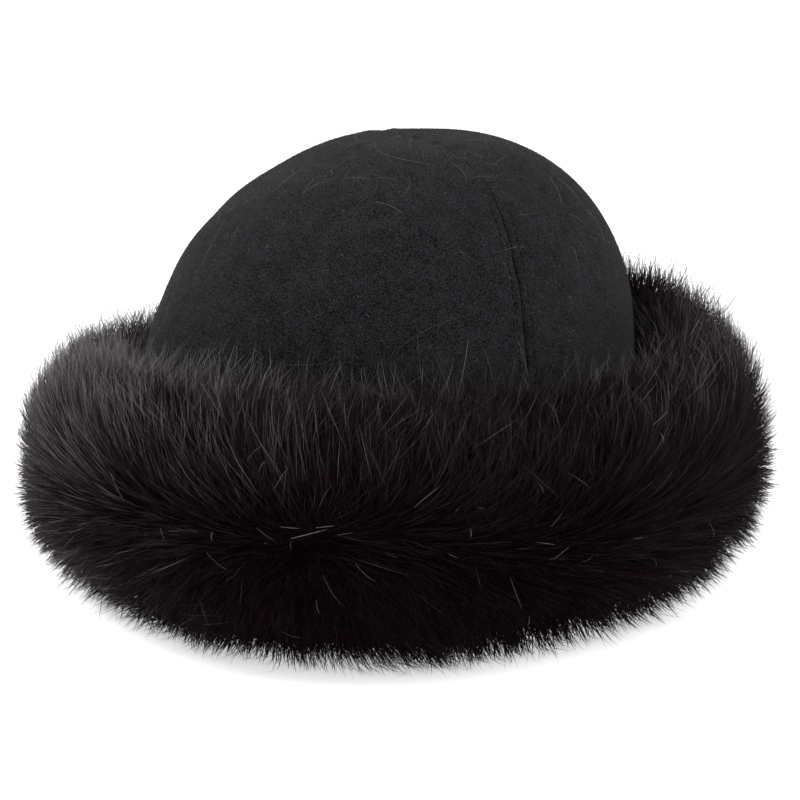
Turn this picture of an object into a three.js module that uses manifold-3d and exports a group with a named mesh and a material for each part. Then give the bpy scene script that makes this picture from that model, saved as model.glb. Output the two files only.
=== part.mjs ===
// A winter hat: a domed crown sewn from two panels of wool cloth, with a deep fur cuff turned up round it.
// Millimetres, +Z up. The front of the hat faces -Y and the wearer's left is +X.

import * as THREE from 'three';
import { mergeVertices } from 'three/addons/utils/BufferGeometryUtils.js';
import Module from 'manifold-3d';

const wasm = await Module();
wasm.setup();

// Driving dimensions. Angles run from the wearer's left (+X) towards the back (+Y).

const CROWN = {
  sideRadius: 87.6, // middle of the hat to the cloth over the ear
  frontRadius: 105.2,
  backRadius: 103.1,
  height: 176.6, // top of the crown over the table
  rimHeight: 14, // lower edge of the cloth
  wall: 2.2, // wool melton with its facing
  fullness: 3.9, // how upright the sides stand before they turn in
  frontFullness: 0.42, // more of that at the front, and less at the back
  roundness: 2.32,
  backRoundness: 0.18,
  swell: 0.024, // share by which the cloth swells halfway up
  lean: 13.8, // how far the top lies behind the middle of the rim
};

const SEAM = {
  gap: 0.4, // between the two panels
  sink: 0.9, // how far the pressed seam pulls the cloth in
  shoulders: [0, 1.7, 4.2], // distances from the seam, with the cloth level again at the last
};

const CUFF = {
  clearance: 0.5, // between the cuff and the crown
  widestAt: 0.473, // height of the furthest tips, as a share of the fur's height
  upperFullness: 2.8,
  lowerFullness: 3.1,
  roundness: 2.1,
  pileOut: 0.88, // where the dense pile ends and single locks begin, as a share of the reach
  pileUpright: 0.95, // the same for the fur that is combed up along the crown or down to the table
  hemBottom: 6, // underside of the turned hem that carries the crown
};

// The fur eight ways round the hat: how far its tips reach beyond the crown, and the heights of its upper
// and lower tips. The table presses flat what hangs below 0.
const CUFF_ROUND = [
  { way: 'left', reach: 55.5, top: 97, bottom: -3 },
  { way: 'back left', reach: 53.5, top: 103.5, bottom: 1.5 },
  { way: 'back', reach: 46, top: 111.5, bottom: -1.5 },
  { way: 'back right', reach: 47, top: 103.5, bottom: -1 },
  { way: 'right', reach: 48, top: 94, bottom: -2.4 },
  { way: 'front right', reach: 44, top: 98.5, bottom: 0 },
  { way: 'front', reach: 42, top: 109.5, bottom: 6 },
  { way: 'front left', reach: 47.5, top: 105.5, bottom: -3 },
];

// Rows of fur locks, from the underside to the inner top edge.
// root and tip are directions round the roll of the cuff in degrees: -90 down, 0 out and 90 up.
const LOCK_ROWS = [
  { count: 21, root: -40, tip: -71, width: 30, thick: 8 },
  { count: 24, root: -20, tip: -52, width: 31, thick: 9 },
  { count: 26, root: -3, tip: -31, width: 31, thick: 10 },
  { count: 26, root: 0, tip: 27, width: 31, thick: 10 },
  { count: 26, root: 15, tip: 46, width: 30, thick: 10 },
  { count: 24, root: 33, tip: 65, width: 29, thick: 9 },
  { count: 20, root: 52, tip: 82, width: 26, thick: 7 },
];

// One lock from root to tip. lift is how far its middle lies beyond the pile, as a share of the reach.
const LOCK_PROFILE = [
  { at: 0, lift: -0.14, size: 0.7 },
  { at: 0.42, lift: -0.01, size: 1 },
  { at: 0.78, lift: 0.07, size: 0.62 },
  { at: 1, lift: 0.15, size: 0 },
];
const LOCK = {
  lean: 5, // degrees round the hat, either way, from root to tip
  wander: 4, // degrees of roll, either way
  ruffle: 0.03, // how far tips stand out or fall short, as a share of the reach
  arrangement: 11, // another number gives another arrangement of the locks
};

// Soft dents in the cloth. angle and height say where, spread how wide, and depth how far in.
const DENTS = [
  { angle: 90, height: 176.5, spread: 18, depth: 1.8 },
  { angle: -14, height: 122, spread: 17, depth: 1.8 },
  { angle: -60, height: 150, spread: 26, depth: 1.5 },
  { angle: 48, height: 148, spread: 22, depth: -1.2 },
  { angle: -128, height: 108, spread: 30, depth: 1.4 },
  { angle: 150, height: 112, spread: 28, depth: 1.6 },
];

const WOOL = { color: 0x2a2a2c, roughness: 0.95, metalness: 0 };
const FUR = { color: 0x15110f, roughness: 0.6, metalness: 0 };

const STEPS_ROUND = 44; // shared by the crown and the cuff, so that their facets lie together
const CROWN_ROWS = 13;
const CUFF_ARC_STEPS = 12;
const HAIR = 0.05;

const { cos, sin, abs, sign, max, PI } = Math;
const radians = THREE.MathUtils.degToRad;
const HEAD_MIDDLE = new THREE.Vector3(0, 0, 0.35 * CROWN.height);

// A repeatable number from -0.5 to 0.5 for each seed.
function scatter(seed) {
  const value = sin(seed * 127.1 + 11.7) * 43758.5453;
  return value - Math.floor(value) - 0.5;
}

// The oval of the rim, grown outwards by rho.
function oval(angle, rho) {
  const length = sin(angle) < 0 ? CROWN.frontRadius : CROWN.backRadius;
  return new THREE.Vector2((CROWN.sideRadius + rho) * cos(angle), (length + rho) * sin(angle));
}

function fullnessAt(angle) {
  return CROWN.fullness - CROWN.frontFullness * sin(angle);
}

// A point of the crown's undented surface, inset by some of the wall. rise is 0 at table height and 90 at the top.
function smoothCrownPoint(angle, rise, inset = 0) {
  const share = sin(radians(rise)) ** (2 / fullnessAt(angle));
  const roundness = CROWN.roundness + CROWN.backRoundness * sin(angle);
  const narrowing = max(cos(radians(rise)), 0) ** (2 / roundness);
  const swelling = 1 + 4 * CROWN.swell * share * (1 - share);
  const plan = oval(angle, -inset).multiplyScalar(narrowing * swelling);
  return new THREE.Vector3(plan.x, plan.y + CROWN.lean * share ** 2, (CROWN.height - inset) * share);
}

function riseAtHeight(angle, height) {
  return THREE.MathUtils.radToDeg(Math.asin((height / CROWN.height) ** (fullnessAt(angle) / 2)));
}

// Row 0 is the edge of the cloth and the last row the top of the crown.
function crownRise(angle, row) {
  const edge = riseAtHeight(angle, CROWN.rimHeight);
  return edge + ((90 - edge) * row) / CROWN_ROWS;
}

function crownHeight(angle, row) {
  return smoothCrownPoint(angle, crownRise(angle, row)).z;
}

// Each dent with the point of the surface that it is centred on.
const placedDents = DENTS.map((dent) => ({
  ...dent,
  centre: smoothCrownPoint(radians(dent.angle), riseAtHeight(radians(dent.angle), dent.height)),
}));

function crownPoint(angle, rise, inset = 0) {
  const point = smoothCrownPoint(angle, rise, inset);
  const inward = HEAD_MIDDLE.clone().sub(point).normalize();
  for (const { centre, spread, depth } of placedDents) {
    point.addScaledVector(inward, depth * Math.exp(-((point.distanceTo(centre) / spread) ** 2)));
  }
  return point;
}

// The plan of the crown's outer surface at a height, grown outwards by clear.
function crownPlan(angle, height, clear) {
  const rise = riseAtHeight(angle, height);
  const wall = smoothCrownPoint(angle, rise);
  const out = oval(angle, 0).normalize();
  return new THREE.Vector3(wall.x + clear * out.x, wall.y + clear * out.y, height);
}

function geometryOf(points, faces) {
  const geometry = new THREE.BufferGeometry().setFromPoints(points);
  geometry.setIndex(faces.flat());
  geometry.computeVertexNormals();
  return geometry;
}

function quad(a, b, c, d) {
  return [a, b, c, a, c, d];
}

// One half of the crown: a closed wall of cloth from seam to seam, whose rows meet in a point at the top.
function crownPanel(firstAngle, shift) {
  const shoulderAngles = SEAM.shoulders.map((distance) => distance / CROWN.sideRadius);
  const widest = shoulderAngles.at(-1);
  const columns = [
    ...shoulderAngles,
    ...Array.from({ length: STEPS_ROUND / 2 - 1 }, (_, i) => (2 * PI * (i + 1)) / STEPS_ROUND),
    ...shoulderAngles.map((angle) => PI - angle).reverse(),
  ];
  const sinkAt = (angle) => SEAM.sink * max(0, 1 - Math.min(angle, PI - angle) / widest) ** 2;
  const points = [];
  const surface = (base, insetAt) => {
    for (let row = 0; row < CROWN_ROWS; row++) {
      for (const column of columns) {
        const angle = firstAngle + column;
        points.push(crownPoint(angle, crownRise(angle, row), base + insetAt(column)));
      }
    }
    points.push(crownPoint(firstAngle, 90, base + insetAt(0)));
  };
  surface(0, sinkAt);
  const outerTop = points.length - 1;
  surface(CROWN.wall, () => 0);
  const innerTop = points.length - 1;
  points.forEach((point) => (point.y += shift));

  const across = columns.length;
  const outer = (row, column) => (row < CROWN_ROWS ? row * across + column : outerTop);
  const inside = (row, column) => (row < CROWN_ROWS ? outerTop + 1 + row * across + column : innerTop);
  const faces = [];
  const last = across - 1;
  for (let row = 0; row < CROWN_ROWS; row++) {
    const atTop = row === CROWN_ROWS - 1;
    for (let column = 0; column < last; column++) {
      if (atTop) {
        faces.push([outer(row, column), outer(row, column + 1), outerTop]);
        faces.push([inside(row, column + 1), inside(row, column), innerTop]);
      } else {
        const next = column + 1;
        faces.push(quad(outer(row, column), outer(row, next), outer(row + 1, next), outer(row + 1, column)));
        faces.push(quad(inside(row, next), inside(row, column), inside(row + 1, column), inside(row + 1, next)));
      }
    }
    faces.push(quad(outer(row, 0), outer(row + 1, 0), inside(row + 1, 0), inside(row, 0)));
    faces.push(quad(inside(row, last), inside(row + 1, last), outer(row + 1, last), outer(row, last)));
  }
  for (let column = 0; column < last; column++) {
    faces.push(quad(inside(0, column), inside(0, column + 1), outer(0, column + 1), outer(0, column)));
  }
  return geometryOf(points, faces);
}

const cuffRound = new THREE.CatmullRomCurve3(
  CUFF_ROUND.map(({ reach, top, bottom }) => new THREE.Vector3(reach, top, bottom)),
  true,
  'catmullrom',
);

// Heights of the fur's upper and lower tips, and its reach, in one direction round the hat.
function cuffSizes(angle) {
  const share = THREE.MathUtils.euclideanModulo(angle / (2 * PI), 1);
  const [reach, top, bottom] = cuffRound.getPoint(share).toArray();
  return { top, bottom, middle: CUFF.widestAt * top, reach };
}

// A point of the fur. roll goes from -90 (down) through 0 (out) to 90 (up), and share from 0 at the hide to 1 at the tips.
function cuffPoint(angle, roll, share) {
  const { top, bottom, middle, reach } = cuffSizes(angle);
  const turn = radians(roll);
  const up = abs(sin(turn)) ** (2 / (roll > 0 ? CUFF.upperFullness : CUFF.lowerFullness));
  const half = roll > 0 ? top - middle : middle - bottom;
  const out = CUFF.clearance + reach * share * max(cos(turn), 0) ** (2 / CUFF.roundness);
  const plan = oval(angle, out);
  return new THREE.Vector3(plan.x, plan.y, middle + sign(roll) * half * up * share);
}

function pileShare(roll) {
  return CUFF.pileOut + (CUFF.pileUpright - CUFF.pileOut) * sin(radians(roll)) ** 2;
}

// The dense pile with the hide inside it, and the turned hem under the crown's edge, as one ring.
function cuffCore() {
  const section = (angle) => {
    const arc = [];
    for (let step = 0; step <= CUFF_ARC_STEPS; step++) {
      const roll = -70 + (152 * step) / CUFF_ARC_STEPS;
      arc.push(cuffPoint(angle, roll, pileShare(roll)));
    }
    arc[0].z = -1;
    const topHeight = arc.at(-1).z;
    const hemTop = CROWN.rimHeight - CUFF.clearance;
    const rows = [3, 2, 1].map((row) => Math.min(crownHeight(angle, row), topHeight - 1 - row));
    const wallHeights = [topHeight - 1, ...rows, hemTop];
    const wall = wallHeights.map((height) => crownPlan(angle, height, CUFF.clearance));
    const hem = [hemTop, CUFF.hemBottom].map((height) => crownPlan(angle, height, -CROWN.wall));
    const foot = crownPlan(angle, 0, 1);
    foot.z = -1;
    return [...arc, ...wall, ...hem, foot];
  };
  const points = [];
  const faces = [];
  for (let column = 0; column < STEPS_ROUND; column++) {
    points.push(...section((2 * PI * column) / STEPS_ROUND));
  }
  const count = points.length / STEPS_ROUND;
  for (let column = 0; column < STEPS_ROUND; column++) {
    const here = column * count;
    const next = ((column + 1) % STEPS_ROUND) * count;
    for (let i = 0; i < count; i++) {
      const j = (i + 1) % count;
      faces.push(quad(here + i, next + i, next + j, here + j));
    }
  }
  return geometryOf(points, faces);
}

// One lock of fur: a flat tuft with a ridge along it, rooted in the pile and tapering to a point at the tips.
function lock(row, angle, seed) {
  const rollAt = (at) => row.root + (row.tip - row.root + 2 * LOCK.wander * scatter(seed + 0.1)) * at;
  const lean = 2 * radians(LOCK.lean) * scatter(seed + 0.3);
  const stand = 2 * LOCK.ruffle * scatter(seed + 0.2);
  const towardsTip = sign(row.tip - row.root);
  const points = [];
  for (const { at, lift, size } of LOCK_PROFILE) {
    const turned = angle + lean * at;
    const roll = rollAt(at);
    const share = pileShare(roll) + lift + stand * at;
    const middle = cuffPoint(turned, roll, share);
    if (size === 0) {
      points.push(middle);
      continue;
    }
    const ahead = cuffPoint(turned, roll + towardsTip, share).sub(middle).normalize();
    const across = cuffPoint(turned + 0.01 * towardsTip, roll, share).sub(middle).normalize();
    const out = across.clone().cross(ahead).normalize();
    const foot = middle.clone().addScaledVector(out, -0.5 * row.thick * size);
    points.push(foot.clone().addScaledVector(across, 0.5 * row.width * size));
    points.push(middle.clone().addScaledVector(out, 0.5 * row.thick * size));
    points.push(foot.clone().addScaledVector(across, -0.5 * row.width * size));
  }
  const tip = points.length - 1;
  const faces = [[0, 1, 2]];
  for (let start = 0; start < tip; start += 3) {
    for (let i = 0; i < 3; i++) {
      const [a, b] = [start + i, start + ((i + 1) % 3)];
      faces.push(start + 3 < tip ? quad(b, a, a + 3, b + 3) : [b, a, tip]);
    }
  }
  return geometryOf(points, faces);
}

function lockRow(row, rowIndex) {
  return Array.from({ length: row.count }, (_, i) => {
    const seed = 1000 * LOCK.arrangement + 100 * rowIndex + i;
    const offset = 0.5 * (rowIndex % 2) + 0.45 * scatter(seed);
    return lock(row, (2 * PI * (i + offset)) / row.count, seed);
  });
}

function solidOf(geometry) {
  const bare = geometry.clone();
  bare.deleteAttribute('normal');
  bare.deleteAttribute('uv');
  const merged = mergeVertices(bare, 1e-3);
  return new wasm.Manifold(new wasm.Mesh({
    numProp: 3,
    vertProperties: new Float32Array(merged.attributes.position.array),
    triVerts: new Uint32Array(merged.index.array),
  }));
}

// The outer skin of a solid as a geometry. Pockets closed in between locks are filled.
function outerSkin(solid) {
  const { vertProperties, triVerts, numProp } = solid.getMesh();
  const parent = Array.from({ length: vertProperties.length / numProp }, (_, i) => i);
  const groupOf = (vertex) => {
    while (parent[vertex] !== vertex) {
      parent[vertex] = parent[parent[vertex]];
      vertex = parent[vertex];
    }
    return vertex;
  };
  for (let i = 0; i < triVerts.length; i += 3) {
    parent[groupOf(triVerts[i + 1])] = groupOf(triVerts[i]);
    parent[groupOf(triVerts[i + 2])] = groupOf(triVerts[i]);
  }
  const facesByGroup = new Map();
  for (let i = 0; i < triVerts.length; i += 3) {
    const group = groupOf(triVerts[i]);
    if (!facesByGroup.has(group)) {
      facesByGroup.set(group, []);
    }
    facesByGroup.get(group).push(i);
  }
  const skin = [...facesByGroup.values()].sort((a, b) => b.length - a.length)[0];
  const geometry = new THREE.BufferGeometry();
  geometry.setAttribute('position', new THREE.BufferAttribute(vertProperties, numProp));
  geometry.setIndex(skin.flatMap((i) => [...triVerts.subarray(i, i + 3)]));
  geometry.computeVertexNormals();
  partTouchingCorners(geometry);
  return geometry;
}

// Where two locks touch in a single corner, each draws back from it by a hair.
function partTouchingCorners(geometry) {
  const { position, normal } = geometry.attributes;
  const used = new Set(geometry.index.array);
  const cornersAt = new Map();
  for (const corner of used) {
    const place = new THREE.Vector3().fromBufferAttribute(position, corner);
    const key = place.toArray().map((value) => value.toFixed(3)).join();
    cornersAt.set(key, [...(cornersAt.get(key) ?? []), corner]);
  }
  for (const corners of cornersAt.values()) {
    for (const corner of corners.length > 1 ? corners : []) {
      const inward = new THREE.Vector3().fromBufferAttribute(normal, corner).negate();
      const place = new THREE.Vector3().fromBufferAttribute(position, corner);
      position.setXYZ(corner, ...place.addScaledVector(inward, HAIR));
    }
  }
}

// The table under the hat, as a block whose top is at height 0.
function tableBlock() {
  const side = 500;
  const depth = 40;
  return new THREE.BoxGeometry(side, side, depth).translate(0, 0, -depth / 2);
}

// The whole cuff: pile, hem and every lock in one body, pressed flat where it rests on the table.
function furCuff() {
  let cuff = solidOf(cuffCore());
  for (const tuft of LOCK_ROWS.flatMap(lockRow)) {
    cuff = cuff.add(solidOf(tuft));
  }
  return outerSkin(cuff.subtract(solidOf(tableBlock())));
}

function piece(name, geometry, look) {
  const mesh = new THREE.Mesh(geometry, new THREE.MeshStandardMaterial(look));
  mesh.name = name;
  return mesh;
}

const hat = new THREE.Group();
hat.add(
  piece('crown_back_panel', crownPanel(0, SEAM.gap / 2), WOOL),
  piece('crown_front_panel', crownPanel(PI, -SEAM.gap / 2), WOOL),
  piece('fur_cuff', furCuff(), FUR),
);

// The origin is the middle of the hat's outline, on the surface it rests on.
const middle = new THREE.Box3().setFromObject(hat, true).getCenter(new THREE.Vector3());
hat.position.set(-middle.x, -middle.y, 0);

export default hat;
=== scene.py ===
"""Looks for a winter hat: a domed crown of wool cloth with a deep fur cuff turned up round it.

Metres. The front of the hat faces -Y, the wearer's left is +X, and the hat rests on height 0. Angles round
the hat run from the wearer's left towards the back. Rolls are directions round the fur's roll, from -90
(down) through 0 (out) to 90 (up), in degrees. Ways are distances over the roll, from the parting upwards.
"""

import logging
import math
from dataclasses import astuple, dataclass, field
from enum import Enum

import bmesh
import bpy
import numpy as np
from mathutils import Matrix, Vector, kdtree

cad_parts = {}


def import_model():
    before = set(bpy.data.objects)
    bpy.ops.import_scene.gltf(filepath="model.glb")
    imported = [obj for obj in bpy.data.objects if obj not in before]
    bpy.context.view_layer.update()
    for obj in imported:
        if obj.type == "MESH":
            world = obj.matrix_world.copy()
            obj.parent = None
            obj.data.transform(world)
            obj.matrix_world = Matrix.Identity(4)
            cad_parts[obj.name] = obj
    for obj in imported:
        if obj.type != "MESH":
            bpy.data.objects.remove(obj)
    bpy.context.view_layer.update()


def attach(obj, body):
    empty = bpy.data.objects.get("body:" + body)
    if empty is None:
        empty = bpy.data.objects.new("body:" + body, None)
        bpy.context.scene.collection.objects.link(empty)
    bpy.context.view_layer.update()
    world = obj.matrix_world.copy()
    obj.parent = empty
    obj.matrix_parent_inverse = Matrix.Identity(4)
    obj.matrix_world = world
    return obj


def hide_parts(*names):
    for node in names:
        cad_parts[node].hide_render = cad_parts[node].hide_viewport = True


log = logging.getLogger("fur_hat")

MM = 0.001
FULL_TURN = 2 * math.pi
QUARTER_TURN = math.pi / 2
BODY = "root"

Colour = tuple[float, float, float, float]
Span = tuple[float, float]


class Slot(Enum):
    """Material slots."""

    WOOL = "wool_cloth"
    FUR = "fur"


def unit(vectors: np.ndarray) -> np.ndarray:
    """Vectors at length 1, however many there are."""
    return vectors / np.maximum(np.linalg.norm(vectors, axis=-1, keepdims=True), 1e-12)


def smooth_step(low: float, high: float, value: np.ndarray) -> np.ndarray:
    """A soft ramp from 0 at low to 1 at high."""
    t = np.clip((value - low) / (high - low), 0, 1)
    return t * t * (3 - 2 * t)


@dataclass(frozen=True)
class Waves:
    """A smooth, repeatable roughness made of a few sine waves in space."""

    length: float
    count: int = 7
    seed: int = 1
    frequencies: Span = (0.7, 1.5)  # the lowest and the highest, as shares of the usual one

    def at(self, points: np.ndarray) -> np.ndarray:
        """Values of about -1 to 1 at the points.

        Args:
            points: places in metres, with the coordinates last.

        Returns:
            One value per point.
        """
        rng = np.random.default_rng(self.seed)
        total = np.zeros(points.shape[:-1])
        for _ in range(self.count):
            way = unit(rng.normal(size=3)) * rng.uniform(*self.frequencies) * FULL_TURN / self.length
            total += np.sin(points @ way + rng.uniform(0, FULL_TURN))
        return total / math.sqrt(self.count)


@dataclass(frozen=True)
class Dent:
    """A soft dent in the cloth: its direction in degrees, its height, how wide it spreads and its depth."""

    angle: float
    height: float
    spread: float
    depth: float


@dataclass(frozen=True)
class CrownShape:
    """The crown's surface. Angles are in radians, and a rise runs from 0 at the table to a quarter turn."""

    middle: tuple[float, float] = (-3.3 * MM, -0.3 * MM)
    side_radius: float = 87.6 * MM
    front_radius: float = 105.2 * MM
    back_radius: float = 103.1 * MM
    height: float = 176.6 * MM
    rim_height: float = 14 * MM
    wall: float = 2.2 * MM
    fullness: float = 3.9  # how upright the sides stand before they turn in
    front_fullness: float = 0.42
    roundness: float = 2.32
    back_roundness: float = 0.18
    swell: float = 0.024  # share by which the cloth swells halfway up
    lean: float = 13.8 * MM  # how far the top lies behind the middle of the rim
    head_middle: float = 0.35  # the height that the cloth is pushed towards, as a share of the whole
    dents: tuple[Dent, ...] = (
        Dent(90, 176.5 * MM, 18 * MM, 1.8 * MM),
        Dent(-14, 122 * MM, 17 * MM, 1.8 * MM),
        Dent(-60, 150 * MM, 26 * MM, 1.5 * MM),
        Dent(48, 148 * MM, 22 * MM, -1.2 * MM),
        Dent(-128, 108 * MM, 30 * MM, 0.2 * MM),
        Dent(-122, 160 * MM, 22 * MM, 1.5 * MM),
        Dent(58, 118 * MM, 26 * MM, -1.5 * MM),
        Dent(150, 112 * MM, 28 * MM, 1.6 * MM),
    )
    rumple: Waves = Waves(length=46 * MM, seed=5)
    rumple_depth: float = 0.45 * MM

    def oval(self, angle: np.ndarray, out: np.ndarray) -> np.ndarray:
        """Plan position on the rim's oval, grown outwards by out."""
        length = np.where(np.sin(angle) < 0, self.front_radius, self.back_radius)
        return np.stack([(self.side_radius + out) * np.cos(angle), (length + out) * np.sin(angle)], -1)

    def fullness_at(self, angle: np.ndarray) -> np.ndarray:
        """How upright the side stands in one direction."""
        return self.fullness - self.front_fullness * np.sin(angle)

    def roundness_at(self, angle: np.ndarray) -> np.ndarray:
        """How round the crown turns in towards the top in one direction."""
        return self.roundness + self.back_roundness * np.sin(angle)

    def swelling_at(self, share: np.ndarray) -> np.ndarray:
        """How much wider the cloth swells at a share of the height."""
        return 1 + 4 * self.swell * share * (1 - share)

    def share_at(self, angle: np.ndarray, rise: np.ndarray) -> np.ndarray:
        """The share of the whole height that a rise reaches."""
        return np.sin(rise) ** (2 / self.fullness_at(angle))

    def rise_at(self, angle: np.ndarray, height: np.ndarray) -> np.ndarray:
        """The rise of a height on the surface."""
        share = np.clip(np.asarray(height) / self.height, 0, 1)
        return np.arcsin(share ** (self.fullness_at(angle) / 2))

    def smooth(self, angle: np.ndarray, rise: np.ndarray) -> np.ndarray:
        """The undented surface.

        Args:
            angle: directions round the hat.
            rise: how far up the surface.

        Returns:
            Points, with the coordinates last.
        """
        share = self.share_at(angle, rise)
        narrowing = np.maximum(np.cos(rise), 0) ** (2 / self.roundness_at(angle))
        plan = self.oval(angle, np.zeros_like(share)) * (narrowing * self.swelling_at(share))[..., None]
        x = plan[..., 0] + self.middle[0]
        y = plan[..., 1] + self.lean * share**2 + self.middle[1]
        return np.stack([x, y, self.height * share], -1)

    def seam_distance(self, angle: np.ndarray, rise: np.ndarray) -> np.ndarray:
        """How far a point of the surface lies from the seam that runs from ear to ear over the top."""
        lean = self.lean * self.share_at(angle, rise) ** 2
        return np.abs(self.smooth(angle, rise)[..., 1] - self.middle[1] - lean)

    def inward(self, points: np.ndarray) -> np.ndarray:
        """Directions from the points towards the middle of the head."""
        centre = np.array([self.middle[0], self.middle[1], self.head_middle * self.height])
        return unit(centre - points)

    def point(self, angle: np.ndarray, rise: np.ndarray) -> np.ndarray:
        """The dented, softly rumpled surface, before the seam is pressed into it.

        Args:
            angle: directions round the hat.
            rise: how far up the surface.

        Returns:
            Points, with the coordinates last.
        """
        points = self.smooth(angle, rise)
        push = self.rumple_depth * self.rumple.at(points)
        for dent in self.dents:
            turn = np.array(math.radians(dent.angle))
            centre = self.smooth(turn, self.rise_at(turn, np.array(dent.height)))
            distance = np.linalg.norm(points - centre, axis=-1)
            push = push + dent.depth * np.exp(-((distance / dent.spread) ** 2))
        return points + self.inward(points) * push[..., None]

    def plan_at(self, angle: np.ndarray, height: np.ndarray) -> np.ndarray:
        """Plan position of the undented surface at a height."""
        return self.smooth(angle, self.rise_at(angle, height))[..., :2]


@dataclass(frozen=True)
class FurSize:
    """The fur in one direction: how far it reaches from the crown, and the heights of its tips."""

    reach: float
    top: float
    bottom: float
    valley: float  # the share of its height that the roll loses beside the crown


@dataclass(frozen=True)
class CuffShape:
    """The fur's roll round the crown."""

    crown: CrownShape
    clearance: float = 0.5 * MM
    widest_at: float = 0.49
    upper_fullness: float = 2.8
    lower_fullness: float = 3.1
    roundness: float = 2.1
    valley_rolls: Span = (50, 90)  # the rolls between which it sinks beside the crown
    table: float = 0.35 * MM  # the lowest that hair lies
    laid_out: float = 0.8  # how much farther out hair lies for what would hang below the table
    # Eight ways round, from the wearer's left towards the back.
    round_about: tuple[FurSize, ...] = (
        FurSize(55.5 * MM, 97 * MM, -3 * MM, 0.02),
        FurSize(54.5 * MM, 107.5 * MM, -0.5 * MM, 0.34),
        FurSize(48 * MM, 114 * MM, -1.5 * MM, 0.06),
        FurSize(47 * MM, 104.5 * MM, -1 * MM, 0.04),
        FurSize(48 * MM, 98.5 * MM, -2.4 * MM, 0.04),
        FurSize(44 * MM, 99.5 * MM, 0 * MM, 0.2),
        FurSize(42 * MM, 109 * MM, 9 * MM, 0.18),
        FurSize(47.5 * MM, 105.5 * MM, -4.3 * MM, 0.1),
    )

    def sizes(self, angle: np.ndarray) -> np.ndarray:
        """The sizes of round_about, on a smooth curve round the hat.

        Args:
            angle: directions round the hat, in radians.

        Returns:
            The four sizes of each direction, last.
        """
        rows = np.array([astuple(size) for size in self.round_about])
        place = np.mod(angle / FULL_TURN, 1) * len(rows)
        first = np.floor(place).astype(int)
        t = (place - first)[..., None]
        a, b, c, d = (rows[(first + step) % len(rows)] for step in (-1, 0, 1, 2))
        bend = (2 * a - 5 * b + 4 * c - d) * t**2
        twist = (3 * b - a - 3 * c + d) * t**3
        return 0.5 * (2 * b + (c - a) * t + bend + twist)

    def point(self, angle: np.ndarray, roll: np.ndarray, share: np.ndarray) -> np.ndarray:
        """A place in the fur.

        Args:
            angle: directions round the hat, in radians.
            roll: directions round the roll, in degrees.
            share: 0 at the hide and 1 at the outline.

        Returns:
            Points, with the coordinates last. Near the crown they lean in and follow its cloth.
        """
        reach, top, bottom, valley = np.moveaxis(self.sizes(angle), -1, 0)
        middle = self.widest_at * top
        turn = np.radians(roll)
        fullness = np.where(roll > 0, self.upper_fullness, self.lower_fullness)
        sunk = valley * smooth_step(*self.valley_rolls, roll)
        up = np.abs(np.sin(turn)) ** (2 / fullness) * (1 - sunk)
        half = np.where(roll > 0, top - middle, middle - bottom)
        height = middle + np.sign(roll) * half * up * share
        out_share = share * np.maximum(np.cos(turn), 0) ** (2 / self.roundness)
        plan = self.crown.oval(angle, self.clearance + reach * out_share)
        plan = plan + np.array(self.crown.middle)
        rim = self.crown.oval(angle, np.zeros_like(reach)) + np.array(self.crown.middle)
        cloth = self.crown.plan_at(angle, np.maximum(height, 0))
        hug = np.clip(1 - out_share, 0, 1)[..., None] ** 2
        plan = plan + (cloth - rim) * hug
        return np.concatenate([plan, height[..., None]], -1)

    def rested(self, paths: np.ndarray) -> np.ndarray:
        """Lays what would hang below the table out along it.

        Args:
            paths: points, with the coordinates last. They are changed.

        Returns:
            The same points, none of them below the table.
        """
        below = np.maximum(self.table - paths[..., 2], 0)
        away = unit(paths[..., :2] - np.array(self.crown.middle))
        paths[..., :2] += away * (self.laid_out * below)[..., None]
        paths[..., 2] = np.maximum(paths[..., 2], self.table)
        return paths


# Finishes. Noise scales are in cells per metre, and ramp places run from 0 to 1.


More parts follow.
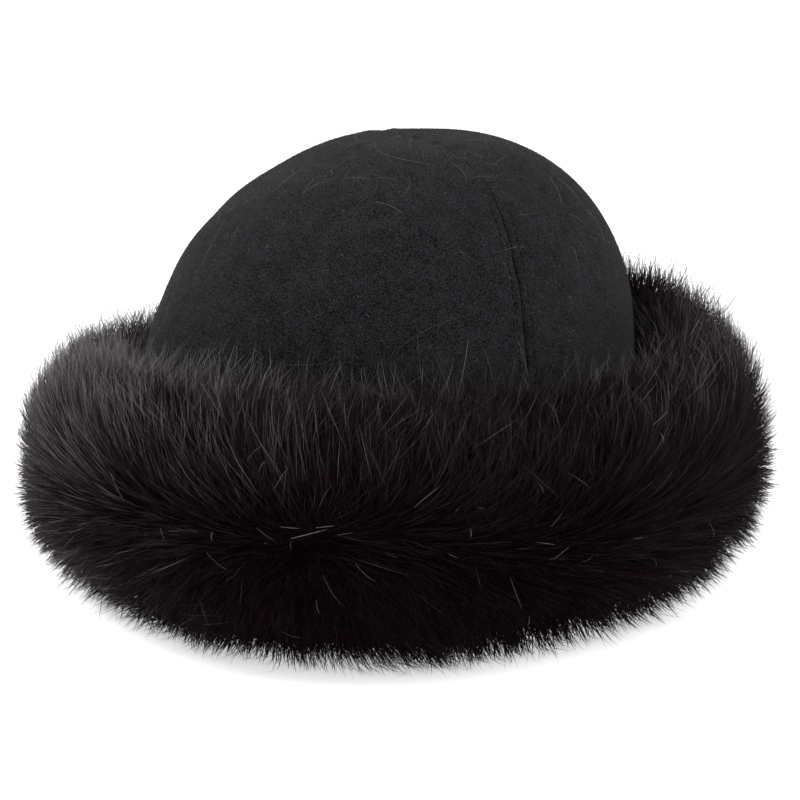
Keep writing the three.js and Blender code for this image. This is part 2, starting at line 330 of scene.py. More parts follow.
class NodeSheet:
    """A material's nodes, laid out by short calls."""

    def __init__(self, name: str) -> None:
        """Starts a material with one surface shader.

        Args:
            name: the material's name.
        """
        self.material = bpy.data.materials.new(name)
        self.material.use_nodes = True
        self.nodes = self.material.node_tree.nodes
        self.links = self.material.node_tree.links
        self.shader = self.nodes["Principled BSDF"]
        self.place = self.nodes.new("ShaderNodeTexCoord").outputs["Object"]

    def noise(self, scale: float, detail: float, roughness: float) -> bpy.types.NodeSocket:
        """Noise in the object's own space.

        Args:
            scale: cells per metre.
            detail: how many finer layers there are.
            roughness: how strong the finer layers are.

        Returns:
            The noise's value.
        """
        node = self.nodes.new("ShaderNodeTexNoise")
        node.inputs["Scale"].default_value = scale
        node.inputs["Detail"].default_value = detail
        node.inputs["Roughness"].default_value = roughness
        self.links.new(self.place, node.inputs["Vector"])
        return node.outputs["Fac"]

    def attribute(self, name: str) -> bpy.types.NodeSocket:
        """A value stored on the mesh.

        Args:
            name: what it is stored as.

        Returns:
            The value.
        """
        node = self.nodes.new("ShaderNodeAttribute")
        node.attribute_name = name
        return node.outputs["Fac"]

    def ramp(self, value: bpy.types.NodeSocket, stops: list[tuple[float, Colour]]) -> bpy.types.NodeSocket:
        """Colours along a value.

        Args:
            value: what the colour follows.
            stops: places and their colours.

        Returns:
            The colour.
        """
        node = self.nodes.new("ShaderNodeValToRGB")
        elements = node.color_ramp.elements
        while len(elements) < len(stops):
            elements.new(0.5)
        for element, (place, colour) in zip(elements, stops):
            element.position = place
            element.color = colour
        self.links.new(value, node.inputs["Fac"])
        return node.outputs["Color"]

    def mix_values(
        self, first: bpy.types.NodeSocket, second: bpy.types.NodeSocket, share: float
    ) -> bpy.types.NodeSocket:
        """A blend of two values.

        Args:
            first: one value.
            second: the other.
            share: how much of the second there is.

        Returns:
            The blend.
        """
        node = self.nodes.new("ShaderNodeMix")
        node.inputs["Factor"].default_value = share
        self.links.new(first, node.inputs["A"])
        self.links.new(second, node.inputs["B"])
        return node.outputs["Result"]

    def mix_colours(
        self, share: bpy.types.NodeSocket, first: Colour, second: bpy.types.NodeSocket
    ) -> bpy.types.NodeSocket:
        """A blend from a plain colour to another colour.

        Args:
            share: how much of the second there is.
            first: the plain colour.
            second: the other colour.

        Returns:
            The blend.
        """
        node = self.nodes.new("ShaderNodeMix")
        node.data_type = "RGBA"
        ends = [socket for socket in node.inputs if socket.type == "RGBA"]
        ends[0].default_value = first
        self.links.new(share, node.inputs["Factor"])
        self.links.new(second, ends[1])
        return next(socket for socket in node.outputs if socket.type == "RGBA")

    def bump(self, height: bpy.types.NodeSocket, strength: float, distance: float) -> bpy.types.NodeSocket:
        """A normal from a height.

        Args:
            height: a value of 0 to 1.
            strength: how much of the bump shows.
            distance: how high a value of 1 stands, in metres.

        Returns:
            The normal.
        """
        node = self.nodes.new("ShaderNodeBump")
        node.inputs["Strength"].default_value = strength
        node.inputs["Distance"].default_value = distance
        self.links.new(height, node.inputs["Height"])
        return node.outputs["Normal"]

    def link(self, socket: bpy.types.NodeSocket, target: str) -> None:
        """Joins a socket to one of the shader's."""
        self.links.new(socket, self.shader.inputs[target])

    def set_values(self, values: dict[str, float]) -> None:
        """Sets the shader's own sockets."""
        for target, value in values.items():
            self.shader.inputs[target].default_value = value


@dataclass(frozen=True)
class WoolMelton:
    """Charcoal wool cloth with a short milled nap."""

    name: str = "wool_melton"
    dark: Colour = (0.0006, 0.0006, 0.0007, 1)
    light: Colour = (0.0180, 0.0177, 0.0193, 1)
    dark_place: float = 0.39
    light_place: float = 0.62
    fibre_scale: float = 1700
    blotch_scale: float = 170
    blotch_share: float = 0.21
    blotch_bump: float = 0.2
    pile_height: float = 0.5 * MM

    def build(self) -> bpy.types.Material:
        """The cloth's material: felted fibres in two sizes of noise, with a soft sheen.

        Returns:
            The material.
        """
        sheet = NodeSheet(self.name)
        fibres = sheet.noise(scale=self.fibre_scale, detail=2, roughness=0.6)
        blotches = sheet.noise(scale=self.blotch_scale, detail=3, roughness=0.6)
        shade = sheet.mix_values(fibres, blotches, self.blotch_share)
        colour = sheet.ramp(shade, [(self.dark_place, self.dark), (self.light_place, self.light)])
        sheet.link(colour, "Base Color")
        pile = sheet.mix_values(fibres, blotches, self.blotch_bump)
        sheet.link(sheet.bump(pile, strength=0.8, distance=self.pile_height), "Normal")
        sheet.set_values({"Roughness": 0.96, "Sheen Weight": 0.025, "Sheen Roughness": 0.5})
        sheet.set_values({"Specular IOR Level": 0.05})
        return sheet.material


@dataclass(frozen=True)
class LooseFibre:
    """Fine fibres that stand on the cloth, coloured one by one."""

    name: str
    dark: Colour
    light: Colour
    roughness: float = 0.6

    def build(self) -> bpy.types.Material:
        """A material whose colour follows the fibre's own tone.

        Returns:
            The material.
        """
        sheet = NodeSheet(self.name)
        colour = sheet.ramp(sheet.attribute("tone"), [(0.0, self.dark), (1.0, self.light)])
        sheet.link(colour, "Base Color")
        sheet.set_values({"Roughness": self.roughness, "Specular IOR Level": 0.1})
        return sheet.material


@dataclass(frozen=True)
class Fur:
    """Brown-black fur hair: darker at the root, lighter and warmer hair among it."""

    name: str
    gloss: float
    root: Colour = (0.0068, 0.0030, 0.0037, 1)
    dark: Colour = (0.0050, 0.0021, 0.0027, 1)
    usual: Colour = (0.0120, 0.0072, 0.0086, 1)
    light: Colour = (0.1150, 0.1060, 0.1090, 1)
    dark_place: float = 0.04
    usual_place: float = 0.34
    root_places: Span = (0.15, 0.75)  # along the hair, where the root's colour ends and the hair's begins
    roughness: Span = (0.34, 0.5)  # of the darkest and of the lightest hair

    def build(self) -> bpy.types.Material:
        """A material from the hair's tone and the place along it.

        Returns:
            The material.
        """
        sheet = NodeSheet(self.name)
        stops = [(self.dark_place, self.dark), (self.usual_place, self.usual), (1.0, self.light)]
        hair = sheet.ramp(sheet.attribute("tone"), stops)
        black, white = (0, 0, 0, 1), (1, 1, 1, 1)
        rooted = sheet.ramp(sheet.attribute("along"), list(zip(self.root_places, (black, white))))
        sheet.link(sheet.mix_colours(rooted, self.root, hair), "Base Color")
        smooth, matt = ((value, value, value, 1) for value in self.roughness)
        sheet.link(sheet.ramp(sheet.attribute("tone"), [(0.0, smooth), (1.0, matt)]), "Roughness")
        sheet.set_values({"Specular IOR Level": self.gloss})
        return sheet.material


@dataclass(frozen=True)
class Mottled:
    """A plain finish of two colours in fine noise, with a low bump of the same noise."""

    name: str
    dark: Colour
    light: Colour
    scale: float
    detail: float
    grain: float  # how strong the finer layers of the noise are
    places: Span
    bump: float
    depth: float
    roughness: float
    specular: float

    def build(self) -> bpy.types.Material:
        """The finish's material.

        Returns:
            The material.
        """
        sheet = NodeSheet(self.name)
        mottle = sheet.noise(scale=self.scale, detail=self.detail, roughness=self.grain)
        low, high = self.places
        sheet.link(sheet.ramp(mottle, [(low, self.dark), (high, self.light)]), "Base Color")
        sheet.link(sheet.bump(mottle, strength=self.bump, distance=self.depth), "Normal")
        sheet.set_values({"Roughness": self.roughness, "Specular IOR Level": self.specular})
        return sheet.material


# The dense underfur and the hide in it, almost black.
HIDE = Mottled(
    "fur_hide", dark=(0.0028, 0.0012, 0.0016, 1), light=(0.0066, 0.0030, 0.0037, 1), scale=420,
    detail=4, grain=0.7, places=(0.3, 0.75), bump=0.8, depth=1 * MM, roughness=0.95, specular=0.03,
)

# Dark sewing thread, with its twist.
THREAD = Mottled(
    "sewing_thread", dark=(0.0003, 0.0003, 0.0004, 1), light=(0.0018, 0.0018, 0.0021, 1), scale=2500,
    detail=2, grain=0.5, places=(0.35, 0.7), bump=0.4, depth=0.1 * MM, roughness=0.7, specular=0.05,
)


@dataclass(frozen=True)
class PaleFloor:
    """A plain pale studio table that glows a little."""

    name: str = "studio_table"
    pale: Colour = (0.72, 0.72, 0.72, 1)
    mottle: float = 0.99  # how dark its darkest spots are next to the rest
    glow: float = 0.54

    def build(self) -> bpy.types.Material:
        """A matt near-white material with the faintest mottle.

        Returns:
            The material.
        """
        sheet = NodeSheet(self.name)
        mottle = sheet.noise(scale=3, detail=1, roughness=0.4)
        near = tuple(self.mottle * value for value in self.pale[:3]) + (1,)
        sheet.link(sheet.ramp(mottle, [(0.3, near), (0.7, self.pale)]), "Base Color")
        sheet.set_values({"Roughness": 0.9, "Specular IOR Level": 0.1, "Emission Strength": self.glow})
        sheet.shader.inputs["Emission Color"].default_value = (1, 1, 1, 1)
        return sheet.material


# Pieces


def place_piece(mesh: bpy.types.Mesh, material: bpy.types.Material, slot: Slot) -> bpy.types.Object:
    """Puts a mesh into the scene as a piece of the hat.

    Args:
        mesh: the piece's mesh, which gives it its name.
        material: its finish.
        slot: the slot that it belongs to; not used.

    Returns:
        The new object, riding on the hat.
    """
    piece = bpy.data.objects.new(mesh.name, mesh)
    bpy.context.scene.collection.objects.link(piece)
    mesh.materials.append(material)
    mesh.shade_smooth()
    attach(piece, BODY)
    log.info("%s: %d faces", piece.name, len(mesh.polygons))
    return piece


@dataclass
class CrownPanel:
    """One of the two halves of the crown, as a wall of cloth with its seam edge pressed in."""

    name: str
    node: str
    shape: CrownShape
    first_angle: float
    columns: int = 92
    rows: int = 60
    crowding: float = 0.86  # how much closer together the columns stand at the seam
    row_crowding: float = 0.86  # below 1, the rows stand closer together towards the top
    groove: float = 0.8 * MM
    groove_width: float = 0.62 * MM
    groove_lost: float = 0.85  # the share of the groove that is lost at the top
    groove_ends: Span = (148 * MM, 168 * MM)  # the heights between which it is lost
    hollow: float = 0.25 * MM
    hollow_width: float = 3 * MM
    stitch_line: float = 3.6 * MM
    stitch_dip: float = 0.12 * MM
    stitch_dip_width: float = 0.55 * MM
    pucker: float = 0.34 * MM
    pucker_width: float = 9 * MM
    puckers: Waves = Waves(length=9 * MM, seed=11)
    gap: float = 0.3 * MM
    weld: float = 0.02 * MM
    inside: tuple[float, float, float] = (0, 0, 60 * MM)  # a place in the head hollow
    cut: Span = (0.318, 0.258)  # the flat cloth, round the rim and up to the top, with its allowances
    cut_area: float = 0.054

    def pressed(self, angle: np.ndarray, rise: np.ndarray) -> np.ndarray:
        """The surface with the seam's groove, the lines of topstitching and the puckers between stitches.

        Args:
            angle: directions round the hat.
            rise: how far up the surface.

        Returns:
            Points, with the coordinates last.
        """
        points = self.shape.point(angle, rise)
        distance = self.shape.seam_distance(angle, rise)
        push = self.groove * np.exp(-((distance / self.groove_width) ** 2))
        push = push * (1 - self.groove_lost * smooth_step(*self.groove_ends, points[..., 2]))
        push = push + self.hollow * np.exp(-((distance / self.hollow_width) ** 2))
        on_line = np.exp(-(((distance - self.stitch_line) / self.stitch_dip_width) ** 2))
        push = push + self.stitch_dip * on_line
        near = np.exp(-((distance / self.pucker_width) ** 2))
        push = push + self.pucker * near * self.puckers.at(points)
        return points + self.shape.inward(points) * push[..., None]

    def build(self, material: bpy.types.Material) -> bpy.types.Object:
        """Bends a grid over half the dome, then gives it the cloth's thickness.

        Args:
            material: the cloth.

        Returns:
            The panel, standing for its solid.
        """
        mesh = bpy.data.meshes.new(self.name)
        bm = bmesh.new()
        bmesh.ops.create_grid(bm, x_segments=self.columns, y_segments=self.rows, size=0.5)
        flat = np.array([vert.co[:2] for vert in bm.verts]) + 0.5
        t = flat[:, 0] - self.crowding * np.sin(FULL_TURN * flat[:, 0]) / FULL_TURN
        angle = self.first_angle + math.pi * t
        edge = self.shape.rise_at(angle, np.full(len(angle), self.shape.rim_height))
        rise = edge + (QUARTER_TURN - edge) * flat[:, 1] ** self.row_crowding
        points = self.pressed(angle, rise)
        points[:, 1] += self.gap / 2 * (1 if self.first_angle == 0 else -1)
        for vert, point in zip(bm.verts, points):
            vert.co = point
        bmesh.ops.remove_doubles(bm, verts=bm.verts, dist=self.weld)
        bmesh.ops.recalc_face_normals(bm, faces=bm.faces)
        inside = Vector(self.inside)
        if sum((face.calc_center_median() - inside).dot(face.normal) for face in bm.faces) < 0:
            bmesh.ops.reverse_faces(bm, faces=bm.faces)
        area = sum(face.calc_area() for face in bm.faces)
        bm.to_mesh(mesh)
        bm.free()
        piece = place_piece(mesh, material, Slot.WOOL)
        thickness = piece.modifiers.new("cloth_thickness", "SOLIDIFY")
        thickness.thickness = self.shape.wall
        thickness.offset = -1
        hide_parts(self.node)
        log.info("%s: area %.4f square metres", self.name, area)
        return piece


@dataclass
class Stitches:
    """The seam's own stitches and a row of topstitching on each side of it, as single sunk stitches."""

    name: str
    shape: CrownShape
    panel: CrownPanel
    pitch: float = 3.1 * MM
    length: float = 2.3 * MM
    width: float = 0.55 * MM
    flatness: float = 0.8  # a stitch's thickness next to its width
    proud: float = 0.04 * MM
    lowest: float = 70 * MM
    highest: float = 0.9994  # as a share of the crown's height
    sunk_at_top: float = 0.3 * MM
    sinking: Span = (148 * MM, 166 * MM)  # the heights between which the stitches sink in
    path_points: int = 900
    rounds: int = 30  # of settling a row at its distance from the seam
    least_radius: float = 1e-6  # of the crown at the top, so that nothing is divided by 0
    most_lean: float = 0.95  # the most that a row may lie from the seam, as a share of that radius

    def path(self, side: int, hand: int) -> np.ndarray:
        """Points along one row, closely spaced.

        Args:
            side: 1 over the wearer's left, -1 over the right.
            hand: 1 behind the seam, 0 in it and -1 in front of it.

        Returns:
            The row's points from the fur up to the top.
        """
        base = 0.0 if side > 0 else math.pi
        heights = np.linspace(self.lowest, self.highest * self.shape.height, self.path_points)
        angle = np.full(len(heights), base)
        for _ in range(self.rounds):
            rise = self.shape.rise_at(angle, heights)
            narrowing = np.cos(rise) ** (2 / self.shape.roundness_at(angle))
            swelling = self.shape.swelling_at(self.shape.share_at(angle, rise))
            across = np.maximum(self.shape.front_radius * narrowing * swelling, self.least_radius)
            lean = np.clip(self.panel.stitch_line / across, 0, self.most_lean)
            angle = base + side * hand * np.arcsin(lean)
        return self.panel.pressed(angle, self.shape.rise_at(angle, heights))

    def build(self, material: bpy.types.Material) -> bpy.types.Object:
        """Lays every stitch along its row.

        Args:
            material: the thread.

        Returns:
            All the stitches as one piece.
        """
        mesh = bpy.data.meshes.new(self.name)
        bm = bmesh.new()
        for side in (1, -1):
            for hand in (1, 0, -1):
                self.sew(bm, self.path(side, hand))
        bm.to_mesh(mesh)
        bm.free()
        return place_piece(mesh, material, Slot.WOOL)

    def sew(self, bm: bmesh.types.BMesh, path: np.ndarray) -> None:
        """Adds one row of stitches that follow a path.

        Args:
            bm: the stitches so far.
            path: the row's points.
        """
        steps = np.linalg.norm(np.diff(path, axis=0), axis=1)
        along = np.concatenate([[0], np.cumsum(steps)])
        for start in np.arange(0.5 * self.pitch, along[-1] - self.pitch, self.pitch):
            place = Vector([float(np.interp(start, along, path[:, k])) for k in range(3)])
            after = Vector([float(np.interp(start + self.length, along, path[:, k])) for k in range(3)])
            way = (after - place).normalized()
            up = -Vector(self.shape.inward(np.array(place)))
            across = way.cross(up).normalized()
            up = across.cross(way)
            turn = Matrix((way, across, up)).transposed().to_4x4()
            size = Matrix.Diagonal((self.length / 2, self.width / 2, self.flatness * self.width / 2, 1))
            sunk = self.sunk_at_top * float(smooth_step(*self.sinking, np.array(place.z)))
            move = Matrix.Translation((place + after) / 2 + (self.proud - sunk) * up)
            bmesh.ops.create_icosphere(bm, subdivisions=1, radius=1, matrix=move @ turn @ size)


@dataclass
class Hairs:
    """Many tapered hairs in one mesh. Each is a thin closed blade along its own curve."""

    name: str
    paths: np.ndarray  # hair, station, coordinate
    outward: np.ndarray  # hair, coordinate
    width: np.ndarray
    tone: np.ndarray
    thickness_share: float = 0.45
    taper: tuple[float, ...] = (0.7, 1.0, 0.75)  # widths from the root to the last ring before the tip

    def build(self, material: bpy.types.Material, slot: Slot) -> bpy.types.Object:
        """Joins all the blades into one mesh.

        Args:
            material: the hair.
            slot: the slot that it belongs to.

        Returns:
            The piece.
        """
        count, stations = self.paths.shape[:2]
        body = stations - 1
        tangents = unit(np.gradient(self.paths, axis=1))
        across = unit(np.cross(tangents, self.outward[:, None, :]))
        up = unit(np.cross(across, tangents))
        taper = np.interp(np.linspace(0, 1, body), np.linspace(0, 1, len(self.taper)), self.taper)
        half = (0.5 * self.width[:, None] * taper)[..., None]
        middle = self.paths[:, :body]
        left = middle + across[:, :body] * half
        right = middle - across[:, :body] * half
        ridge = middle + up[:, :body] * half * 2 * self.thickness_share
        rings = np.stack([left, ridge, right], 2).reshape(count, body * 3, 3)
        verts = np.concatenate([rings, self.paths[:, -1:]], 1)
        per_hair = body * 3 + 1
        index = (self.blade(body)[None] + (np.arange(count) * per_hair)[:, None, None]).reshape(-1)
        mesh = bpy.data.meshes.new(self.name)
        mesh.vertices.add(count * per_hair)
        mesh.vertices.foreach_set("co", verts.astype(np.float32).ravel())
        mesh.loops.add(len(index))
        mesh.loops.foreach_set("vertex_index", index.astype(np.int32))
        mesh.polygons.add(len(index) // 3)
        mesh.polygons.foreach_set("loop_start", np.arange(0, len(index), 3, dtype=np.int32))
        mesh.update(calc_edges=True)
        self.store(mesh, "tone", np.repeat(self.tone, per_hair))
        along = np.append(np.repeat(np.linspace(0, 1, stations)[:body], 3), 1.0)
        self.store(mesh, "along", np.tile(along, count))
        return place_piece(mesh, material, slot)

    @staticmethod
    def blade(rings: int) -> np.ndarray:
        """The triangles of one blade: its foot, its sides between rings of three points, and its tip.

        Args:
            rings: how many rings of points it has below the tip.

        Returns:
            Three point numbers for each triangle.
        """
        faces = [(0, 1, 2)]
        for ring in range(rings - 1):
            low, high = 3 * ring, 3 * ring + 3
            for i in range(3):
                j = (i + 1) % 3
                faces += [(low + j, low + i, high + i), (low + j, high + i, high + j)]
        low, tip = 3 * (rings - 1), 3 * rings
        faces += [(low + (i + 1) % 3, low + i, tip) for i in range(3)]
        return np.array(faces)

    @staticmethod
    def store(mesh: bpy.types.Mesh, name: str, values: np.ndarray) -> None:
        """Keeps one value per point on the mesh."""
        mesh.attributes.new(name, "FLOAT", "POINT").data.foreach_set("value", values.astype(np.float32))


@dataclass
class Nap:
    """The short fibres that stand up from the wool cloth."""

    name: str
    panel: CrownPanel
    count: int = 20000
    seed: int = 21
    shortest: float = 0.7 * MM
    longest: float = 2.2 * MM
    width_mm: Span = (0.1, 0.2)
    root_depth_mm: float = 0.05
    stand: Span = (0.12, 0.6)  # how upright a fibre is
    tone_power: float = 2.3  # above 1, more fibres are dark than light
    lowest: float = 80 * MM
    highest: float = 0.999  # as a share of a quarter turn
    tries: int = 4  # for each fibre
    probe: float = 0.004  # the side of the patch, in radians, that tells how wide the cloth is there
    usual_most: float = 0.98  # the share of patches that are no larger than the one to compare with

    def build(self, material: bpy.types.Material) -> bpy.types.Object:
        """Scatters the fibres evenly over both panels.

        Args:
            material: the fibre.

        Returns:
            The nap as one piece.
        """
        rng = np.random.default_rng(self.seed)
        shape = self.panel.shape
        tries = self.tries * self.count
        angle = rng.uniform(0, FULL_TURN, tries)
        lowest = shape.rise_at(angle, np.full(tries, self.lowest))
        rise = rng.uniform(lowest, self.highest * math.pi / 2)
        base = shape.smooth(angle, rise)
        aside = shape.smooth(angle + self.probe, rise) - base
        below = shape.smooth(angle, rise - self.probe) - base
        area = np.linalg.norm(np.cross(aside, below), axis=-1)
        keep = rng.uniform(0, 1, tries) < area / np.quantile(area, self.usual_most)
        angle, rise = angle[keep][: self.count], rise[keep][: self.count]
        roots = self.panel.pressed(angle, rise)
        count = len(roots)
        up = -shape.inward(roots)
        lie = rng.normal(size=roots.shape)
        lie = unit(lie - np.sum(lie * up, -1, keepdims=True) * up)
        length = rng.uniform(self.shortest, self.longest, count)[:, None]
        stand = rng.uniform(*self.stand, count)[:, None]
        tips = roots + lie * length * (1 - stand) + up * length * stand
        paths = np.stack([roots - up * self.root_depth_mm * MM, tips], 1)
        width = rng.uniform(*self.width_mm, count) * MM
        tone = rng.uniform(0, 1, count) ** self.tone_power
        return Hairs(self.name, paths, up, width, tone, taper=(1.0,)).build(material, Slot.WOOL)


@dataclass(frozen=True)
class Strand:
    """A stray fibre on the cloth: where it starts and how it runs. Degrees and millimetres."""

    angle: float
    height: float
    heading: float
    length: float
    bend: float


@dataclass
class Lint:
    """Stray pale fibres that have settled on the crown. Degrees and millimetres, but for the width."""

    name: str
    panel: CrownPanel
    strands: tuple[Strand, ...]
    scattered: int = 70
    seed: int = 33
    stations: int = 12
    width: float = 0.062 * MM
    widths: Span = (0.7, 1.2)
    heights: Span = (105, 174)
    top_heights: Span = (165, 176)
    lengths: Span = (5, 16)
    bends: Span = (-70, 70)
    tones: Span = (0.35, 0.8)
    scattered_tones: Span = (0, 0.7)
    lift: float = 0.12
    arch: float = 0.5
    arches: Span = (0.7, 1)
    highest: float = 0.9995  # as a share of the crown's height
    least_radius: float = 12 * MM
    steepness: float = 0.8
    least_slope: float = 0.12

    def build(self, material: bpy.types.Material) -> bpy.types.Object:
        """Lays the fibres over the cloth, the named ones first.

        Args:
            material: the fibre.

        Returns:
            The fibres as one piece.
        """
        rng = np.random.default_rng(self.seed)
        every = list(self.strands)
        for _ in range(self.scattered):
            angle = rng.uniform(-180, 180)
            height = float(rng.choice([rng.uniform(*self.heights), rng.uniform(*self.top_heights)]))
            heading, length = rng.uniform(0, 360), rng.uniform(*self.lengths)
            every.append(Strand(angle, height, heading, length, rng.uniform(*self.bends)))
        paths = np.array([self.lay(strand, rng) for strand in every])
        up = -self.panel.shape.inward(paths[:, 0])
        width = self.width * rng.uniform(*self.widths, len(paths))
        named = rng.uniform(*self.tones, len(self.strands))
        tone = np.concatenate([named, rng.uniform(*self.scattered_tones, self.scattered)])
        hairs = Hairs(self.name, paths, up, width, tone, thickness_share=0.8, taper=(0.7, 1, 0.7))
        return hairs.build(material, Slot.WOOL)

    def lay(self, strand: Strand, rng: np.random.Generator) -> np.ndarray:
        """One fibre's points, each a little above the cloth.

        Args:
            strand: how the fibre runs.
            rng: where the fibre's unevenness comes from.

        Returns:
            The points from end to end.
        """
        shape = self.panel.shape
        angle, height = math.radians(strand.angle), strand.height * MM
        heading = math.radians(strand.heading)
        step = strand.length * MM / (self.stations - 1)
        points = []
        for station in range(self.stations):
            rise = shape.rise_at(np.array(angle), np.array(min(height, self.highest * shape.height)))
            point = self.panel.pressed(np.array(angle), rise)
            arch = math.sin(math.pi * station / (self.stations - 1))
            lift = self.lift + self.arch * arch * rng.uniform(*self.arches)
            points.append(point - shape.inward(point) * lift * MM)
            radius = max(float(np.hypot(*(point[:2] - np.array(shape.middle)))), self.least_radius)
            slope = max(math.cos(float(rise)) ** self.steepness, self.least_slope)
            angle += step * math.cos(heading) / radius
            height += step * math.sin(heading) * slope
            heading += math.radians(strand.bend) / self.stations
        return np.array(points)


@dataclass
class FurPelt:
    """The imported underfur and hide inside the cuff, with the hem that is turned under the crown's edge."""

    name: str
    node: str
    shape: CuffShape
    pile: float = 0.8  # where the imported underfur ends, as a share of the fur's depth
    upright_pile: float = 0.86  # the same where the fur stands up or hangs down
    arc_rolls: tuple[int, int] = (-68, 80)
    arc_steps: int = 26
    steps_round: int = 176
    wall_heights_mm: tuple[float, ...] = (84, 70, 55, 40, 26, 13.5)
    hem_heights_mm: tuple[float, ...] = (13.5, 9.5, 6.2)
    foot_edges_mm: tuple[float, ...] = (-1.0, 2.0)  # of the flat underside, outside the crown's rim
    foot_height: float = 0.25 * MM
    lowest_pile: float = 0.4 * MM
    lump: float = 2.2 * MM
    lumps: Waves = Waves(length=17 * MM, seed=8)
    probe: float = 0.2  # how deep in the fur the point lies that tells which way is out
    weld: float = 0.01 * MM

    def section(self) -> list[tuple[str, float]]:
        """The ring's closed section, from the outer foot round over the top and down inside.

        Returns:
            Named stations and their values: a roll for the pile, and otherwise metres.
        """
        first, last = self.arc_rolls
        steps = range(self.arc_steps + 1)
        arc = [("pile", first + (last - first) * step / self.arc_steps) for step in steps]
        wall = [("wall", height * MM) for height in self.wall_heights_mm]
        hem = [("hem", height * MM) for height in self.hem_heights_mm]
        return arc + wall + hem + [("foot", out * MM) for out in self.foot_edges_mm]

    def at(self, kind: str, value: float, angle: np.ndarray) -> np.ndarray:
        """Points of one station of the section.

        Args:
            kind: the station's name.
            value: its roll, height or distance from the rim.
            angle: directions round the hat, in radians.

        Returns:
            One point for each direction.
        """
        crown = self.shape.crown
        full = np.full(len(angle), float(value))
        if kind == "pile":
            upright = math.sin(math.radians(value)) ** 2
            share = self.pile + (self.upright_pile - self.pile) * upright
            points = self.shape.point(angle, full, np.full(len(angle), share))
            lumps = self.lumps.at(points) * self.lump
            away = unit(points - self.shape.point(angle, full, np.full(len(angle), share - self.probe)))
            points = points + away * lumps[:, None]
            points[:, 2] = np.maximum(points[:, 2], self.lowest_pile)
            return points
        if kind == "foot":
            plan = crown.oval(angle, full) + np.array(crown.middle)
            return np.concatenate([plan, np.full((len(angle), 1), self.foot_height)], -1)
        out = self.shape.clearance if kind == "wall" else -crown.wall
        way = unit(crown.oval(angle, np.zeros(len(angle))))
        plan = crown.plan_at(angle, full) + way * out
        return np.concatenate([plan, full[:, None]], -1)

    def build(self, material: bpy.types.Material) -> bpy.types.Object:
        """Bends a grid into the ring and closes it both ways.

        Args:
            material: the hide.

        Returns:
            The pelt, standing for the cuff's solid.
        """
        stations = self.section()
        mesh = bpy.data.meshes.new(self.name)
        bm = bmesh.new()
        bmesh.ops.create_grid(bm, x_segments=self.steps_round, y_segments=len(stations), size=0.5)
        flat = np.array([vert.co[:2] for vert in bm.verts]) + 0.5
        angle = FULL_TURN * flat[:, 0]
        which = np.rint(flat[:, 1] * len(stations)).astype(int) % len(stations)
        points = np.zeros((len(angle), 3))
        for index, (kind, value) in enumerate(stations):
            chosen = which == index
            points[chosen] = self.at(kind, value, angle[chosen])
        for vert, point in zip(bm.verts, points):
            vert.co = point
        bmesh.ops.remove_doubles(bm, verts=bm.verts, dist=self.weld)
        bmesh.ops.recalc_face_normals(bm, faces=bm.faces)
        bm.to_mesh(mesh)
        bm.free()
        piece = place_piece(mesh, material, Slot.FUR)
        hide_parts(self.node)
        return piece


@dataclass(frozen=True)
class Coat:
    """One kind of hair in the cuff, from its roots to how it lies."""

    name: str
    count: int
    stations: int
    root_share: float
    tip_share: float
    spread: float  # how unevenly the tips end, as a share of the fur's depth
    longest: float
    sweep: float  # how far a hair is combed over the roll
    width: float
    gather: float  # how strongly hairs lean together into their tuft
    stray: float  # how far a hair strays from its neighbours, in degrees round the hat
    brightness: float
    lowest: float  # the ways over the roll between which its tips lie
    highest: float
    seed: int


@dataclass(frozen=True)
class PaintedLight:
    """Painted light and shade in the hair's tone: how pale the pile is drawn where light falls, and how dark
    where shade falls. Sides are in degrees round the hat, and ways are in metres over the roll.
    """

    least: float = 0.04
    upper: float = 0.5  # painted light from above: how much paler the upper hair is
    upper_ways: Span = (-14 * MM, 66 * MM)
    sunny_side: float = -128.0  # the direction of the painted light, in which the pile is palest
    shaded: float = 0.34  # what is left of the two values above on the far side, in painted shade
    sunlit: float = 0.68
    # Painted light from the sunny side: over all the pile, on the hair below the parting, and as a painted
    # highlight along the ridge.
    all_over: float = 0.27
    underside: float = 0.4
    underside_ways: Span = (6 * MM, 40 * MM)  # below the parting
    ridge: float = 0.75
    ridge_ways: Span = (16 * MM, 66 * MM)
    glancing_side: float = 66.0  # the direction in which only the upper hair is painted pale, as light catching the top of the roll
    glancing: float = 0.5
    glancing_ways: Span = (34 * MM, 66 * MM)
    shade_side: float = -36.0  # opposite the side where painted shade darkens the fur against the crown
    shade_from: float = 0.3
    crown_shade: float = 0.6
    shade_ways: Span = (60 * MM, 80 * MM)

    def at(self, angle: np.ndarray, way: np.ndarray) -> np.ndarray:
        """The painted light and shade of hair whose tips lie at these places.

        Args:
            angle: directions round the hat, in radians.
            way: ways over the roll.

        Returns:
            A value for each hair, 0 for the darkest.
        """
        sunny = 0.5 + 0.5 * np.cos(angle - math.radians(self.sunny_side))
        lit_tone = self.least + self.upper * smooth_step(*self.upper_ways, way)
        lit_tone = lit_tone * (self.shaded + self.sunlit * sunny**2) + self.all_over * sunny**4
        lit_tone += self.underside * sunny**4 * smooth_step(*self.underside_ways, -way)
        lit_tone += self.ridge * sunny**8 * smooth_step(*self.ridge_ways, way)
        glancing = np.maximum(np.cos(angle - math.radians(self.glancing_side)), 0)
        lit_tone += self.glancing * glancing**3 * smooth_step(*self.glancing_ways, way)
        # Painted shade on the far fur where it lies against the crown.
        behind = np.clip(self.shade_from - 2 * np.cos(angle - math.radians(self.shade_side)), 0, 1)
        return lit_tone * (1 - self.crown_shade * behind * smooth_step(*self.shade_ways, way))


